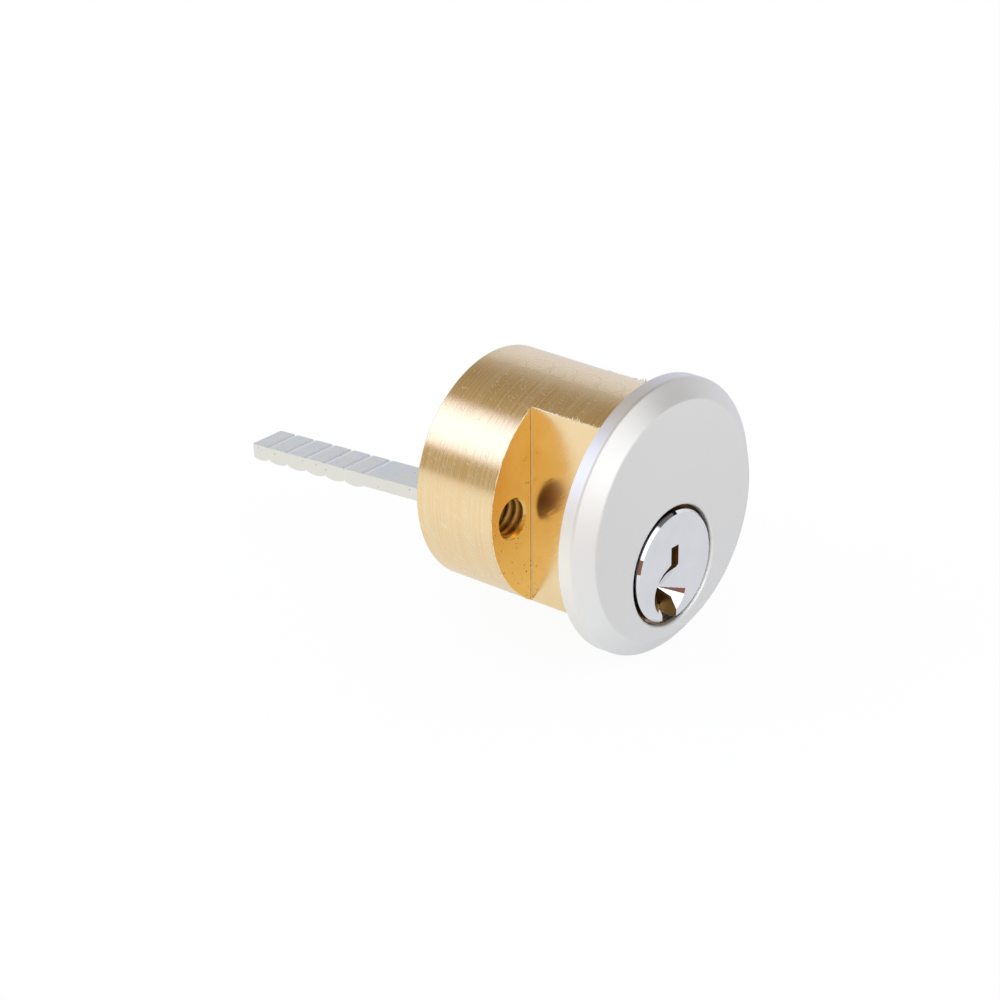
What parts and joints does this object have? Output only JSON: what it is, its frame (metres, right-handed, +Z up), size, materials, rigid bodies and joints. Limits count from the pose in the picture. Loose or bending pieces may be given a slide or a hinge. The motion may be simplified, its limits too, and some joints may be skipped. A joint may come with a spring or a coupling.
{
  "type": "rim lock cylinder",
  "caption": "Keyed rim lock cylinder: brass barrel with milled sides, satin face cap, off-centre chrome plug with keyway, sprung pins and a flat snap-off tail bar.",
  "frame": {"origin": "on the barrel's axis, at the door face (underside of the head)", "axes": "+Y along the barrel towards the tail bar, +Z up through the pin chambers, key side facing -Y"},
  "size_m": [0.0378, 0.0731, 0.0378],
  "materials": {
    "turned_brass": "turned and brushed",
    "satin_chrome": "satin chrome plate",
    "bright_chrome": "polished chrome plate",
    "brass_pin": "plain machined",
    "steel_pin": "plain steel",
    "spring_wire": "drawn wire",
    "zinc_plated_steel": "zinc plated, sheared edges"
  },
  "bodies": {
    "cylinder": {"cylinder_body": "turned_brass", "face_cap": "satin_chrome", "chamber_plugs": "turned_brass", "pin_spring_1": "spring_wire", "pin_spring_2": "spring_wire", "pin_spring_3": "spring_wire", "pin_spring_4": "spring_wire", "pin_spring_5": "spring_wire"},
    "plug": {"plug": "bright_chrome", "rear_cap": "turned_brass", "cap_spring": "spring_wire"},
    "key_pin_1": {"key_pin_1": "brass_pin"},
    "key_pin_2": {"key_pin_2": "brass_pin"},
    "key_pin_3": {"key_pin_3": "brass_pin"},
    "key_pin_4": {"key_pin_4": "brass_pin"},
    "key_pin_5": {"key_pin_5": "brass_pin"},
    "driver_pin_1": {"driver_pin_1": "brass_pin"},
    "driver_pin_2": {"driver_pin_2": "brass_pin"},
    "driver_pin_3": {"driver_pin_3": "brass_pin"},
    "driver_pin_4": {"driver_pin_4": "brass_pin"},
    "driver_pin_5": {"driver_pin_5": "brass_pin"},
    "cap_pin": {"cap_pin": "steel_pin"},
    "tail_bar": {"tail_bar": "zinc_plated_steel"}
  },
  "joints": [
    {"name": "plug_turn", "type": "hinge", "parent": "cylinder", "child": "plug", "pos_m": [0, 0, -0.00645], "axis": [0, 1, 0], "continuous": true},
    {"name": "key_pin_1_drop", "type": "slide", "parent": "plug", "child": "key_pin_1", "axis": [0, 0, 1], "range_m": [-0.00313, 0]},
    {"name": "key_pin_2_drop", "type": "slide", "parent": "plug", "child": "key_pin_2", "axis": [0, 0, 1], "range_m": [-0.00153, 0]},
    {"name": "key_pin_3_drop", "type": "slide", "parent": "plug", "child": "key_pin_3", "axis": [0, 0, 1], "range_m": [-0.00233, 0]},
    {"name": "key_pin_4_drop", "type": "slide", "parent": "plug", "child": "key_pin_4", "axis": [0, 0, 1], "range_m": [-0.000934, 0]},
    {"name": "key_pin_5_drop", "type": "slide", "parent": "plug", "child": "key_pin_5", "axis": [0, 0, 1], "range_m": [-0.00273, 0]},
    {"name": "driver_pin_1_lift", "type": "slide", "parent": "cylinder", "child": "driver_pin_1", "axis": [0, 0, 1], "range_m": [0, 0.0035], "stiffness_N_per_m": 60, "springref_m": -0.005, "deforming": ["pin_spring_1"]},
    {"name": "driver_pin_2_lift", "type": "slide", "parent": "cylinder", "child": "driver_pin_2", "axis": [0, 0, 1], "range_m": [0, 0.0035], "stiffness_N_per_m": 60, "springref_m": -0.005, "deforming": ["pin_spring_2"]},
    {"name": "driver_pin_3_lift", "type": "slide", "parent": "cylinder", "child": "driver_pin_3", "axis": [0, 0, 1], "range_m": [0, 0.0035], "stiffness_N_per_m": 60, "springref_m": -0.005, "deforming": ["pin_spring_3"]},
    {"name": "driver_pin_4_lift", "type": "slide", "parent": "cylinder", "child": "driver_pin_4", "axis": [0, 0, 1], "range_m": [0, 0.0035], "stiffness_N_per_m": 60, "springref_m": -0.005, "deforming": ["pin_spring_4"]},
    {"name": "driver_pin_5_lift", "type": "slide", "parent": "cylinder", "child": "driver_pin_5", "axis": [0, 0, 1], "range_m": [0, 0.0035], "stiffness_N_per_m": 60, "springref_m": -0.005, "deforming": ["pin_spring_5"]},
    {"name": "cap_pin_press", "type": "slide", "parent": "plug", "child": "cap_pin", "axis": [0, -1, 0], "range_m": [0, 0.00055], "stiffness_N_per_m": 60, "springref_m": -0.002, "deforming": ["cap_spring"]},
    {"name": "tail_bar_swing", "type": "hinge", "parent": "plug", "child": "tail_bar", "pos_m": [0, 0.02825, -0.00683], "axis": [1, 0, 0], "range_deg": [0, 9]}
  ]
}
